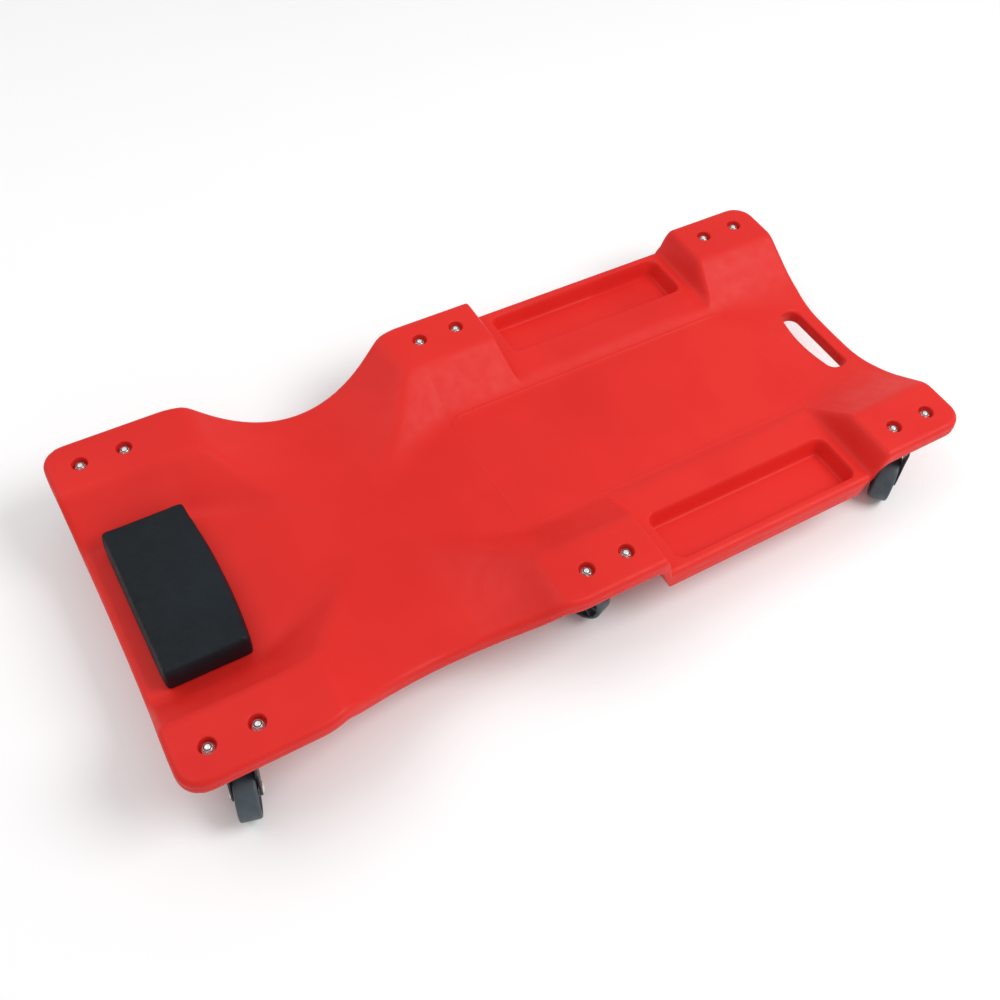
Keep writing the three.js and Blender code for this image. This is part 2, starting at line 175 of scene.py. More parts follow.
class Nodes:
    """A small builder for one material's node tree."""

    def __init__(self, name):
        self.material = bpy.data.materials.new(name)
        self.material.use_nodes = True
        self.tree = self.material.node_tree
        self.shader = self.tree.nodes["Principled BSDF"]
        coords = self.tree.nodes.new("ShaderNodeTexCoord")
        self.place = coords.outputs["Object"]

    def link(self, source, target):
        self.tree.links.new(source, target)

    def noise(self, scale, detail=4, roughness=0.55, stretch=(1, 1, 1)):
        mapping = self.tree.nodes.new("ShaderNodeMapping")
        mapping.inputs["Scale"].default_value = stretch
        self.link(self.place, mapping.inputs["Vector"])
        node = self.tree.nodes.new("ShaderNodeTexNoise")
        node.inputs["Scale"].default_value = scale
        node.inputs["Detail"].default_value = detail
        node.inputs["Roughness"].default_value = roughness
        self.link(mapping.outputs["Vector"], node.inputs["Vector"])
        return node.outputs["Fac"]

    def cells(self, scale, stretch=(1, 1, 1)):
        mapping = self.tree.nodes.new("ShaderNodeMapping")
        mapping.inputs["Scale"].default_value = stretch
        self.link(self.place, mapping.inputs["Vector"])
        node = self.tree.nodes.new("ShaderNodeTexVoronoi")
        node.inputs["Scale"].default_value = scale
        self.link(mapping.outputs["Vector"], node.inputs["Vector"])
        return node.outputs["Distance"]

    def remap(self, value, low, high, to_low=0.0, to_high=1.0):
        node = self.tree.nodes.new("ShaderNodeMapRange")
        ends = {"From Min": low, "From Max": high, "To Min": to_low, "To Max": to_high}
        for key, number in ends.items():
            node.inputs[key].default_value = number
        self.link(value, node.inputs["Value"])
        return node.outputs["Result"]

    def math(self, operation, a, b):
        node = self.tree.nodes.new("ShaderNodeMath")
        node.operation = operation
        for socket, value in zip(node.inputs, (a, b)):
            if isinstance(value, (int, float)):
                socket.default_value = value
            else:
                self.link(value, socket)
        return node.outputs["Value"]

    def blend_colours(self, factor, first, second):
        node = self.tree.nodes.new("ShaderNodeMix")
        node.data_type = "RGBA"
        self.link(factor, node.inputs["Factor"])
        for socket, value in ((node.inputs["A"], first), (node.inputs["B"], second)):
            if isinstance(value, tuple):
                socket.default_value = (*value, 1)
            else:
                self.link(value, socket)
        return node.outputs["Result"]

    def bump(self, height, strength, distance):
        node = self.tree.nodes.new("ShaderNodeBump")
        node.inputs["Strength"].default_value = strength
        node.inputs["Distance"].default_value = distance
        self.link(height, node.inputs["Height"])
        self.link(node.outputs["Normal"], self.shader.inputs["Normal"])

    def colour(self, socket):
        self.link(socket, self.shader.inputs["Base Color"])

    def rough(self, socket):
        self.link(socket, self.shader.inputs["Roughness"])

    def set(self, **values):
        for key, value in values.items():
            self.shader.inputs[key.replace("_", " ")].default_value = value


def deck_material():
    n = Nodes("red_moulded_plastic")
    broad = n.noise(5, 3)
    clouds = n.remap(broad, 0.35, 0.65)
    colour = n.blend_colours(clouds, (0.65, 0.016, 0.012), (0.72, 0.022, 0.016))
    scuffs = n.remap(n.noise(22, 8, 0.72, (1, 2.5, 1)), 0.63, 0.74)
    patches = n.remap(n.noise(6, 2), 0.52, 0.66)
    worn = n.math("MULTIPLY", n.math("MULTIPLY", scuffs, patches), 0.13)
    colour = n.blend_colours(worn, colour, (0.86, 0.14, 0.11))
    n.colour(colour)
    grain = n.cells(900)
    n.rough(n.remap(n.noise(60, 5), 0.3, 0.7, 0.42, 0.56))
    n.bump(n.math("ADD", grain, n.math("MULTIPLY", n.noise(1800, 2), 0.6)), 0.12, 0.0004)
    n.set(Specular_IOR_Level=0.22)
    return n.material


def vinyl_material():
    n = Nodes("black_vinyl")
    tone = n.remap(n.noise(14, 4), 0.3, 0.7)
    n.colour(n.blend_colours(tone, (0.0035, 0.0068, 0.0098), (0.0070, 0.0120, 0.0165)))
    leather = n.cells(700)
    creases = n.noise(55, 5, 0.65, (0.25, 5.0, 1.0))
    n.bump(n.math("ADD", n.math("MULTIPLY", leather, 0.3), creases), 0.6, 0.002)
    n.rough(n.remap(n.noise(90, 4), 0.3, 0.7, 0.46, 0.62))
    n.set(Specular_IOR_Level=0.2)
    return n.material


def wheel_material():
    n = Nodes("slate_wheel_plastic")
    dust = n.remap(n.noise(45, 6, 0.65), 0.45, 0.72)
    colour = n.blend_colours(dust, (0.040, 0.060, 0.073), (0.066, 0.088, 0.102))
    n.colour(colour)
    n.rough(n.remap(n.noise(160, 4), 0.3, 0.7, 0.38, 0.58))
    n.bump(n.noise(500, 5), 0.16, 0.0006)
    return n.material


def bracket_material():
    n = Nodes("black_enamel_steel")
    spots = n.remap(n.noise(35, 6, 0.7), 0.5, 0.75)
    n.colour(n.blend_colours(spots, (0.010, 0.011, 0.013), (0.028, 0.029, 0.031)))
    n.rough(n.remap(n.noise(120, 5), 0.3, 0.7, 0.28, 0.45))
    n.bump(n.noise(240, 5), 0.1, 0.0005)
    n.set(Specular_IOR_Level=0.25)
    return n.material


def zinc_material():
    n = Nodes("zinc_plate")
    cloud = n.remap(n.noise(180, 5, 0.6), 0.35, 0.68)
    n.colour(n.blend_colours(cloud, (0.74, 0.75, 0.76), (0.90, 0.90, 0.89)))
    n.rough(n.remap(n.noise(420, 4), 0.3, 0.7, 0.16, 0.34))
    n.bump(n.noise(900, 3), 0.08, 0.0003)
    n.set(Metallic=0.55)
    return n.material


def board_material():
    n = Nodes("pressed_board")
    fibre = n.noise(120, 6, 0.7, (1, 6, 1))
    tone = n.remap(fibre, 0.35, 0.65)
    n.colour(n.blend_colours(tone, (0.035, 0.026, 0.019), (0.075, 0.056, 0.040)))
    n.rough(n.remap(fibre, 0.3, 0.7, 0.7, 0.9))
    n.bump(fibre, 0.3, 0.0008)
    return n.material


def nylon_material():
    n = Nodes("dark_nylon")
    n.colour(n.blend_colours(n.noise(300, 3), (0.010, 0.011, 0.013), (0.020, 0.021, 0.025)))
    n.rough(n.remap(n.noise(500, 3), 0.3, 0.7, 0.4, 0.55))
    n.bump(n.noise(1200, 2), 0.08, 0.0002)
    return n.material


DECK = deck_material()
VINYL = vinyl_material()
WHEEL = wheel_material()
BRACKET = bracket_material()
ZINC = zinc_material()
BOARD = board_material()
NYLON = nylon_material()


# ------------------------------------------------------------------ the board

deck_low, deck_high = (Vector(c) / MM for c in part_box("deck"))
HALF_LENGTH = deck_high.x
HALF_WIDTH = round(deck_high.y)  # at the head end
PAD_TOP = deck_high.z
WALL = 20
CORNER_RADIUS = 28
TAPER = 4.5  # half width lost from the head end to the foot end
HEAD_BOW_DEPTH, HEAD_BOW_HALF = 2.8, 190
FOOT_BOW_DEPTH, FOOT_BOW_HALF = 3.5, 85
CUT_X, CUT_Y, CUT_SPREAD, CUT_FILLET = -205, 200, 500, 14
DISH_DEPTH, FOOT_DIP = 42.5, 8
PAD_EDGE = 162  # |y| where the raised caster pads begin
RELIEF_DEPTH, RELIEF_DROP, RELIEF_RISE, RELIEF_HALF = 41.5, 9, 51, 128
TOP_ROUND, BOTTOM_ROUND = 7, 3
TRAY_X0, TRAY_X1, TRAY_Y0, TRAY_Y1 = 85, 353, 152, 222
TRAY_DEPTH, TRAY_DRAFT, TRAY_RADIUS = 22, 7, 12
SHELF_DEPTH, BOX_DEPTH = 33.5, 63
RUN_UP = 24  # how far above the pads the tray shelf's slopes run on, to be rounded over there
BODY_ROUND = 6  # where the arm troughs and the shelf meet the dish
SHELF_ROUND = 16  # at the foot of the slope up to the foot pads
STEP_NEAR, SLOPE_NEAR = (64, 84), (300, 366)  # x over which the rounding beside the pads fades
PAD_SIDE = (104, 124)  # |y| over which it comes in
STEP_X0, STEP_X1 = 53.7, 66  # down from the middle pads
SLOPE_X0, SLOPE_X1 = 369, 387  # up to the foot pads
BOX_X0, BOX_X1 = 353, 392  # the curve on the underside up to the foot pads
PANEL_X0, PANEL_X1, PANEL_Y, PANEL_RADIUS = -46, 384, 95, 20
SLOT_X0, SLOT_X1, SLOT_HALF_LENGTH, SLOT_RADIUS, SLOT_BOW = 454, 484.5, 57, 13, 6


def soft_min(a, b, k):
    h = np.maximum(k - np.abs(a - b), 0) / k
    return np.minimum(a, b) - h * h * k / 4


def soft_max(a, b, k):
    return -soft_min(-a, -b, k)


def ramp(x, x0, v0, x1, v1):
    return v0 + (v1 - v0) * np.clip((x - x0) / (x1 - x0), 0, 1)


def smooth(x, x0, x1):
    t = np.clip((x - x0) / (x1 - x0), 0, 1)
    return t * t * (3 - 2 * t)


def edge_fall(distance, radius):
    d = np.clip(radius - distance, 0, radius)
    return radius - np.sqrt(radius * radius - d * d)


def straight_half_width(x):
    """Half width without the corners and the arm cut-outs."""
    return HALF_WIDTH - TAPER * (x / HALF_LENGTH + 1) / 2


def half_width(x):
    side = straight_half_width(x) - edge_fall(HALF_LENGTH - np.abs(x), CORNER_RADIUS)
    arm = CUT_Y + (x - CUT_X) ** 2 / CUT_SPREAD
    return soft_min(side, arm, CUT_FILLET)


def dish_depth(x):
    return DISH_DEPTH + FOOT_DIP * smooth(x, 385, 495)


def dish_side(x, y):
    head_side = ramp(x, -378, 109.5, -230, 35)
    foot_side = ramp(x, -180, 35, -45, 97) - ramp(x, 385, 0, 475, 19)
    floor_half = np.where(x < CUT_X, head_side, foot_side)
    return (np.abs(y) - PAD_EDGE) * dish_depth(x) / (PAD_EDGE - floor_half)


def arm_relief(x, y):
    along = (x - CUT_X) / RELIEF_HALF
    out = np.abs(y) / CUT_Y
    rise = RELIEF_RISE * along ** 2 * np.sqrt((out + 0.03) / 1.1)
    return rise - RELIEF_DROP * out ** 2 - RELIEF_DEPTH


def rounded_box_distance(x, y, x0, x1, y0, y1, radius):
    """How far inside a rounded rectangle a point is, negative outside it."""
    dx = np.abs(x - (x0 + x1) / 2) - (x1 - x0) / 2 + radius
    dy = np.abs(y - (y0 + y1) / 2) - (y1 - y0) / 2 + radius
    outside = np.hypot(np.maximum(dx, 0), np.maximum(dy, 0))
    return radius - outside - np.minimum(np.maximum(dx, dy), 0)


def tray_fall(x, y):
    inside = rounded_box_distance(x, np.abs(y), TRAY_X0, TRAY_X1, TRAY_Y0, TRAY_Y1, TRAY_RADIUS)
    wall = inside * TRAY_DEPTH / TRAY_DRAFT
    return soft_min(TRAY_DEPTH, soft_max(0, wall, 4), 5)


def panel_rise(x, y):
    """The middle panel and the fine bead round it stand up a little, least at the foot end."""
    distance = rounded_box_distance(x, y, PANEL_X0, PANEL_X1, -PANEL_Y, PANEL_Y, PANEL_RADIUS)
    rise = 0.5 * smooth(distance, -1.2, 1.2) + 0.65 * np.exp(-(distance / 1.2) ** 2)
    return rise * (1 - 0.75 * smooth(x, 350, PANEL_X1))


def dish_height(x, y):
    """The dish and the pads beside it, with the foot of the slope softest at the foot edge."""
    return soft_max(-dish_depth(x), soft_min(0, dish_side(x, y), 5), ramp(x, 385, 8, 480, 28))


def shelf_height(x):
    """The shelf round the trays, with its slopes up to the middle and foot pads."""
    rise = np.minimum((x - SLOPE_X0) / (SLOPE_X1 - SLOPE_X0), 1) * (SHELF_DEPTH + RUN_UP)
    step = ramp(x, STEP_X0, RUN_UP, STEP_X1, -SHELF_DEPTH)
    return np.maximum(step, soft_max(-SHELF_DEPTH, rise - SHELF_DEPTH, SHELF_ROUND))


def top_height(x, y):
    body = soft_min(dish_height(x, y), arm_relief(x, y), BODY_ROUND)
    near_step = ramp(x, STEP_NEAR[0], 1, STEP_NEAR[1], 0)
    near_slope = ramp(x, SLOPE_NEAR[0], 0, SLOPE_NEAR[1], 1)
    near_pads = np.maximum(near_step, near_slope) * smooth(np.abs(y), *PAD_SIDE)
    surface = soft_min(body, shelf_height(x), BODY_ROUND + (RUN_UP - BODY_ROUND) * near_pads)
    return PAD_TOP + surface - tray_fall(x, y) + panel_rise(x, y)


def bottom_height(x, y):
    curve = -WALL - (BOX_DEPTH - WALL) * ramp(x, BOX_X0, 1, BOX_X1, 0) ** 2
    box = np.maximum(np.maximum(ramp(x, 50, -WALL, 69, -BOX_DEPTH), curve), -dish_depth(x) - WALL)
    return PAD_TOP + np.minimum(np.minimum(dish_height(x, y), arm_relief(x, y)) - WALL, box)


def rim_distance(x, y):
    """Distance in from the outline, true round the corners of the board."""
    ax, ay = np.abs(x), np.abs(y)
    straight = np.minimum(half_width(x) - ay, HALF_LENGTH - ax)
    cx, cy = HALF_LENGTH - CORNER_RADIUS, straight_half_width(x) - CORNER_RADIUS
    corner = CORNER_RADIUS - np.hypot(ax - cx, ay - cy)
    return np.where((ax > cx) & (ay > cy), np.maximum(corner, 0), straight)


def end_bow(x, y):
    """How far both end edges bow in, fading over the last stretch of the board."""
    reach = ramp(np.abs(x), 400, 0, HALF_LENGTH, 1)
    head = HEAD_BOW_DEPTH * np.maximum(0, 1 - (y / HEAD_BOW_HALF) ** 2)
    foot = FOOT_BOW_DEPTH * np.maximum(0, 1 - (y / FOOT_BOW_HALF) ** 2)
    return reach * np.where(x > 0, -foot, head)


def lines(*stretches):
    """Grid lines from stretches of (start, end, spacing)."""
    values = []
    for start, end, spacing in stretches:
        count = max(1, round(abs(end - start) / spacing))
        values.extend(np.linspace(start, end, count + 1)[:-1])
    values.append(stretches[-1][1])
    return np.array(values)


RIM_STEPS = np.array([0, 0.35, 0.9, 1.8, 3, 4.5, 6.5, 9, 12])


def grid_along():
    middle = lines(
        (-498, -350, 8), (-350, -60, 6), (-60, -50, 5), (-50, -42, 1), (-42, -24, 2), (-24, 52, 7),
        (52, 70, 1.5), (70, 82, 4), (82, 98, 1.25), (98, 338, 8), (338, 354, 1.25),
        (354, 396, 1.2), (396, 406, 2.5), (406, 498, 5))
    return np.concatenate([-HALF_LENGTH + RIM_STEPS[:-1], middle, HALF_LENGTH - RIM_STEPS[-2::-1]])


def grid_across():
    """Grid lines from the middle to the side, as |y| where the board has its full width."""
    inner = lines(
        (0, 76, 8), (76, 92, 2.5), (92, 98, 1), (98, 120, 3), (120, 148, 5), (148, 168, 1.4),
        (168, 210, 6), (210, 226, 1.4))
    outer = HALF_WIDTH - RIM_STEPS[-2::-1]
    return np.concatenate([inner, outer])


STRAIGHT_TO = 168  # lines inside this |y| are straight, and outside it follow the outline


def shell_points(xs, ys):
    """Plan positions of the grid, with the outer lines fitted to the outline."""
    x = np.repeat(xs[:, None], len(ys), 1)
    line = np.repeat(ys[None, :], len(xs), 0)
    side = half_width(x)
    rim = HALF_WIDTH - RIM_STEPS[-1]
    ay = np.abs(line)
    room = side - RIM_STEPS[-1] - STRAIGHT_TO
    middle = STRAIGHT_TO + (ay - STRAIGHT_TO) * room / (rim - STRAIGHT_TO)
    outer = side - (HALF_WIDTH - ay)
    fitted = np.where(ay <= STRAIGHT_TO, ay, np.where(ay <= rim, middle, outer))
    return x, np.sign(line) * fitted


def board_shell():
    xs = grid_along()
    half = grid_across()
    ys = np.concatenate([-half[:0:-1], half])
    x, y = shell_points(xs, ys)
    rim = rim_distance(x, y)
    top = top_height(x, y) - edge_fall(rim, TOP_ROUND)
    bottom = bottom_height(x, y) + edge_fall(rim, BOTTOM_ROUND)
    px = x + end_bow(x, y)
    nx, ny = x.shape
    verts = np.concatenate([
        np.stack([px, y, top], -1).reshape(-1, 3), np.stack([px, y, bottom], -1).reshape(-1, 3)])
    index = np.arange(nx * ny).reshape(nx, ny)
    corners = [index[:-1, :-1], index[1:, :-1], index[1:, 1:], index[:-1, 1:]]
    quads = np.stack(corners, -1).reshape(-1, 4)
    faces = [tuple(q) for q in quads] + [tuple(q[::-1] + nx * ny) for q in quads]
    border = np.concatenate([index[:-1, 0], index[-1, :-1], index[:0:-1, -1], index[0, :0:-1]])
    return verts, faces, border, nx * ny


def wall_loops(verts, faces, border, offset):
    """Closes the side of the board, with a thin parting ridge at half height."""
    ridge = 0.35
    top = verts[border]
    bottom = verts[border + offset]
    along = (np.roll(top, -1, 0) - np.roll(top, 1, 0))[:, :2]
    outward = np.stack([along[:, 1], -along[:, 0]], 1)
    outward /= np.maximum(np.linalg.norm(outward, axis=1, keepdims=True), 1e-6)
    rings = [border]
    extra = []
    for share, push in ((0.3, 0.0), (0.44, 0.0), (0.5, ridge), (0.56, 0.0), (0.7, 0.0)):
        points = top * (1 - share) + bottom * share
        points[:, :2] += outward * push
        rings.append(np.arange(len(border)) + len(verts) + sum(len(e) for e in extra))
        extra.append(points)
    rings.append(border + offset)
    for upper, lower in zip(rings, rings[1:]):
        for i in range(len(border)):
            j = (i + 1) % len(border)
            faces.append((upper[i], lower[i], lower[j], upper[j]))
    return np.concatenate([verts, *extra]), faces


def bolt_places():
    for place in PLACES:
        for hand in HANDS:
            for end in "ab":
                low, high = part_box(f"{place}_{hand}_nut_{end}")
                yield (low.x + high.x) / 2 / MM, (low.y + high.y) / 2 / MM, low.z / MM


def counterbore_cutter(x, y, floor):
    """The hole for one bolt and the recess for its nut, with a rounded lip."""
    hole, radius, chamfer, lip = 3.4, 9.3, 0.6, 1.6
    profile = [(hole, 20), (hole, floor), (radius - chamfer, floor), (radius, floor + chamfer)]
    for a in np.linspace(0, 1.35, 6):
        profile.append((radius + lip - lip * math.cos(a), PAD_TOP - lip + lip * math.sin(a)))
    profile.append((radius + lip, PAD_TOP + 3))
    verts, faces = lathe(profile, 48)
    return verts + np.array([x, y, 0]), faces


def slot_outline(grow, z, segments=9):
    """The hand slot's outline: rounded corners, and the long side nearer the head bowed out.

    It grows by the given amount, and fully so only on the side nearer the foot.
    """
    middle = (SLOT_X0 + SLOT_X1) / 2
    half = (SLOT_X1 - SLOT_X0) / 2
    cx, cy = half - SLOT_RADIUS, SLOT_HALF_LENGTH - SLOT_RADIUS
    points = []
    for sx, sy, start in ((1, 1, 0), (-1, 1, 90), (-1, -1, 180), (1, -1, 270)):
        for px, py in arc_points(sx * cx, sy * cy, SLOT_RADIUS, start, start + 90, segments):
            points.append((px, py))
        if start == 90:
            for py in np.linspace(cy, -cy, 13)[1:-1]:
                points.append((-half, py))
    outline = []
    for px, py in points:
        bow = SLOT_BOW * max(0.0, 1 - (py / cy) ** 2) if px <= -half + 0.01 else 0.0
        share = 0.2 + 0.8 * min(1.0, max(0.0, (px + half) / (2 * half)))
        length = math.hypot(px / half, py / SLOT_HALF_LENGTH)
        push = grow * share / max(length, 0.5)
        x = middle + px - bow + push * px / half
        outline.append((x, py + push * py / SLOT_HALF_LENGTH, z))
    return np.array(outline)


def slot_cutter():
    lip = 5
    middle = (SLOT_X0 + SLOT_X1) / 2
    under = float(bottom_height(np.array(middle), np.array(0.0)))
    loops = [slot_outline(lip, under - 4)]
    for a in np.linspace(80, 0, 6):
        rise = lip * math.sin(math.radians(a))
        loops.append(slot_outline(lip - lip * math.cos(math.radians(a)), under + lip - rise))
    for a in np.linspace(0, 80, 6):
        rise = lip * math.sin(math.radians(a))
        loops.append(slot_outline(lip - lip * math.cos(math.radians(a)), rise - lip))
    loops.append(slot_outline(lip, 5))
    for loop in loops[-7:]:
        loop[:, 2] += top_height(loop[:, 0], loop[:, 1])
    return loops_mesh(loops)


DIMPLES_X = (-20, 60, 140, 220, 300, 380)
DIMPLES_Y = (-64, 0, 64)
# Radius of a dimple, and height above the underside.
DIMPLE = ((13, -3), (10, 0), (8.6, 2), (6.2, 8.6), (5.2, 9.4))


def underside_dimple(x, y):
    """A cone pressed up into the underside, where the two skins of the board meet."""
    under = float(bottom_height(np.array(float(x)), np.array(float(y))))
    verts, faces = lathe([(radius, under + rise) for radius, rise in DIMPLE], 32)
    return verts + np.array([x, y, 0]), faces


def merged_cutter(parts):
    verts, faces, offset = [], [], 0
    for part_verts, part_faces in parts:
        verts.append(part_verts)
        faces.extend(tuple(i + offset for i in face) for face in part_faces)
        offset += len(part_verts)
    return new_piece("cutter", np.concatenate(verts), faces)


def make_board():
    verts, faces, border, offset = board_shell()
    verts, faces = wall_loops(verts, faces, border, offset)
    board = new_piece("board_shell", verts, faces)
    cutters = [counterbore_cutter(x, y, floor - GAP) for x, y, floor in bolt_places()]
    cutters.append(slot_cutter())
    cutters.extend(underside_dimple(x, y) for x in DIMPLES_X for y in DIMPLES_Y)
    combine(board, merged_cutter(cutters), "DIFFERENCE")
    shade(board.data, 38)
    return dress(board, DECK, "deck", "board", "deck")


make_board()


# ------------------------------------------------------------------ casters and their fasteners

joint_at = {joint["name"]: Vector(joint["pos_m"]) for joint in frame["joints"]}

plate_low, plate_high = (Vector(c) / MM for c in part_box("head_right_plate"))
fork_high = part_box("head_right_fork")[1].z / MM
PLATE_TOP = plate_high.z
PLATE_THICKNESS = 2.6
PLATE_HALF_X, PLATE_HALF_Y, PLATE_RADIUS = 39, 22, 14
RACE_RADIUS, RACE_LOW = 19.5, plate_low.z
WHEEL_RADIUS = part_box("head_right_wheel")[1].z / 2 / MM
WHEEL_HALF = 12
TRAIL = 21
FORK_INSIDE, FORK_WALL = 13.4, 2.4
FORK_OUTSIDE = FORK_INSIDE + FORK_WALL
FORK_FOOT = 18  # lower than the legs' ends, which are cut to shape
PIN_DEPTH = 2.9  # from the fork's top down to the kingpin's head
AXLE_RADIUS = 4


def finish_mesh(piece, material, sharp_angle=SHARP_ANGLE):
    """Takes a piece's mesh as a pattern for copies."""
    shade(piece.data, sharp_angle)
    mesh = piece.data
    mesh.materials.clear()
    mesh.materials.append(material)
    bpy.data.objects.remove(piece)
    return mesh


def place_copy(name, mesh, matrix, slot, body, *nodes):
    piece = bpy.data.objects.new(name, mesh)
    bpy.context.scene.collection.objects.link(piece)
    piece.matrix_world = matrix
    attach(piece, body)
    if nodes:
        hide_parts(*nodes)
    return piece


def rounded_outline(half_x, half_y, radius, z, bow=0.0, segments=7):
    """A rounded rectangle at one height, with its +X side bowed out by this much."""
    points = []
    cx, cy = half_x - radius, half_y - radius
    for sx, sy, start in ((1, 1, 0), (-1, 1, 90), (-1, -1, 180), (1, -1, 270)):
        points.extend(arc_points(sx * cx, sy * cy, radius, start, start + 90, segments))
    for y in np.linspace(-cy, cy, 17)[1:-1]:
        points.append((half_x, y))
    outline = [(x + bow * max(0.0, x / half_x) * (1 - (y / half_y) ** 2), y, z) for x, y in points]
    return np.array(outline)


def turned_piece(name, profile, segments=32):
    return new_piece(name, *lathe(profile, segments))


def about_y(verts):
    """Turns a body made about Z so that its axis lies along Y."""
    return np.stack([verts[:, 0], -verts[:, 2], verts[:, 1]], 1)


def plate_mesh():
    """The mounting plate, with the bearing race pressed down from its middle."""
    low, edge = PLATE_TOP - PLATE_THICKNESS, 0.8
    rows = ((edge, low), (0.25, low + 0.25), (0, low + edge), (0, PLATE_TOP - edge),
            (0.25, PLATE_TOP - 0.25), (edge, PLATE_TOP))
    loops = [rounded_outline(PLATE_HALF_X - inset, PLATE_HALF_Y - inset, PLATE_RADIUS - inset, z)
             for inset, z in rows]
    plate = new_piece("plate", *loops_mesh(loops))
    r, bottom = RACE_RADIUS, RACE_LOW
    race = turned_piece("race", [
        (11, bottom + 1.8), (r - 6, bottom + 1.6), (r - 4.6, bottom + 0.4), (r - 3, bottom),
        (r - 1, bottom + 0.2), (r - 0.2, bottom + 1), (r, bottom + 2.2), (r - 0.4, bottom + 3.6),
        (r - 1.6, bottom + 5.2), (r - 1.9, low + 0.4), (r - 2.4, low + 1)], 48)
    combine(plate, race, "UNION")
    return finish_mesh(plate, BRACKET)


def extruded_y(outline, half):
    """A body between y = -half and y = +half from (x, z) points."""
    return loops_mesh([[(x, y, z) for x, z in outline] for y in (-half, half)])


def smoothed(points, rounds=2):
    """A closed run of points with its corners cut back."""
    for _ in range(rounds):
        nearer = [(0.75 * a[0] + 0.25 * b[0], 0.75 * a[1] + 0.25 * b[1]) for a, b in
                  zip(points, points[1:] + points[:1])]
        farther = [(0.25 * a[0] + 0.75 * b[0], 0.25 * a[1] + 0.75 * b[1]) for a, b in
                   zip(points, points[1:] + points[:1])]
        points = [point for pair in zip(nearer, farther) for point in pair]
    return points


def fork_mesh():
    """A pressed steel fork: two legs bent down from a round crown."""
    top = fork_high
    bend, inner_bend = 4.0, 1.8
    section = []
    for sign in (1, -1):
        centre = sign * (FORK_OUTSIDE - bend)
        angles = (0, 90) if sign > 0 else (90, 180)
        section.extend(arc_points(centre, top - bend, bend, *angles, 6))
    outer = [(FORK_OUTSIDE, FORK_FOOT), *section, (-FORK_OUTSIDE, FORK_FOOT)]
    inner = [(-FORK_INSIDE, FORK_FOOT)]
    for sign in (-1, 1):
        centre = sign * (FORK_INSIDE - inner_bend)
        angles = (180, 90) if sign < 0 else (90, 0)
        inner.extend(arc_points(centre, top - FORK_WALL - inner_bend, inner_bend, *angles, 5))
    inner.append((FORK_INSIDE, FORK_FOOT))
    run = outer + inner
    fork = new_piece("fork", *loops_mesh([[(x, y, z) for y, z in run] for x in (-30, 40)]))
    leg = [(-19, top), (-22, top - 4), (-21.5, top - 9), (-17, top - 20)]
    leg += [(TRAIL - 10.5, WHEEL_RADIUS + 3)]
    leg += arc_points(TRAIL, WHEEL_RADIUS, 8.5, 170, 350, 9)
    leg += [(TRAIL + 9.6, WHEEL_RADIUS + 14), (26, top - 22), (28, top - 12), (27, top - 3),
            (24, top)]
    combine(fork, new_piece("leg", *extruded_y(smoothed(leg, 1), 30)), "INTERSECT")
    r = 22
    crown = turned_piece("crown", [
        (9, top - 2.7), (r - 2.2, top - 2.7), (r - 1.2, top - 4.4), (r - 0.3, top - 4.2),
        (r, top - 2.6), (r - 0.2, top - 1), (r - 1.4, top - 0.1), (r - 4, top), (9, top)], 48)
    combine(fork, crown, "UNION")
    bevel(fork, 0.45)
    return finish_mesh(fork, BRACKET)


def wheel_mesh():
    """A moulded wheel: a lightly crowned tread, and deep ribbed recesses round the hub."""
    segments, ribs = 120, 8
    half, radius = WHEEL_HALF, WHEEL_RADIUS
    recess_from, recess_to, rib_drop = 9.4, 26.6, 2.2
    side = [(4.3, half), (8.2, half), (9.0, half - 0.3), (9.5, half - 1.0),
            (9.9, 5.6), (10.8, 4.6), (13, 4.2), (17, 4.2), (21, 4.2), (24.0, 4.4), (25.4, 5.2),
            (26.0, 6.2), (26.5, half - 1.4), (26.9, half - 0.5), (27.8, half)]
    shoulder = arc_points(radius - 3.1, half - 3, 3, 90, 8, 7)
    tread = [(radius - 0.06, 6), (radius, 2.4)]
    rows = side + shoulder + tread
    profile = [(r, y) for r, y in rows] + [(r, -y) for r, y in reversed(rows)]
    turn = np.arange(segments) * 2 * math.pi / segments
    phase = np.abs((np.arange(segments) * ribs / segments + 0.5) % 1 - 0.5) * segments / ribs
    rib = np.clip(2.0 - phase, 0, 1)
    loops = []
    for r, y in profile:
        height = np.full(segments, float(y))
        if recess_from < r < recess_to and abs(y) < half - 1.2:
            crest = half - rib_drop
            height = np.sign(y) * (abs(y) + (crest - abs(y)) * rib)
        loops.append(np.stack([np.cos(turn) * r, np.sin(turn) * r, height], 1))
    verts, faces = ring_mesh(loops)
    wheel = new_piece("wheel", about_y(verts) + np.array([TRAIL, 0, radius]), faces)
    return finish_mesh(wheel, WHEEL, 40)


def axle_mesh():
    """The axle pin, with a domed head on one side and a turned-over end on the other."""
    reach = FORK_OUTSIDE + GAP
    head = AXLE_RADIUS + 2.4
    verts, faces = lathe([
        (0, -reach - 2.4), (2.2, -reach - 2.3), (4.4, -reach - 1.8), (head - 0.5, -reach - 1.1),
        (head, -reach - 0.6), (head, -reach), (AXLE_RADIUS, -reach), (AXLE_RADIUS, reach),
        (head - 0.6, reach), (head - 0.3, reach + 0.5), (head - 0.9, reach + 1.2),
        (3.6, reach + 1.7), (2.8, reach + 1.2), (0, reach + 1.0)], 32)
    axle = new_piece("axle", about_y(verts) + np.array([TRAIL, 0, WHEEL_RADIUS]), faces)
    return finish_mesh(axle, ZINC)


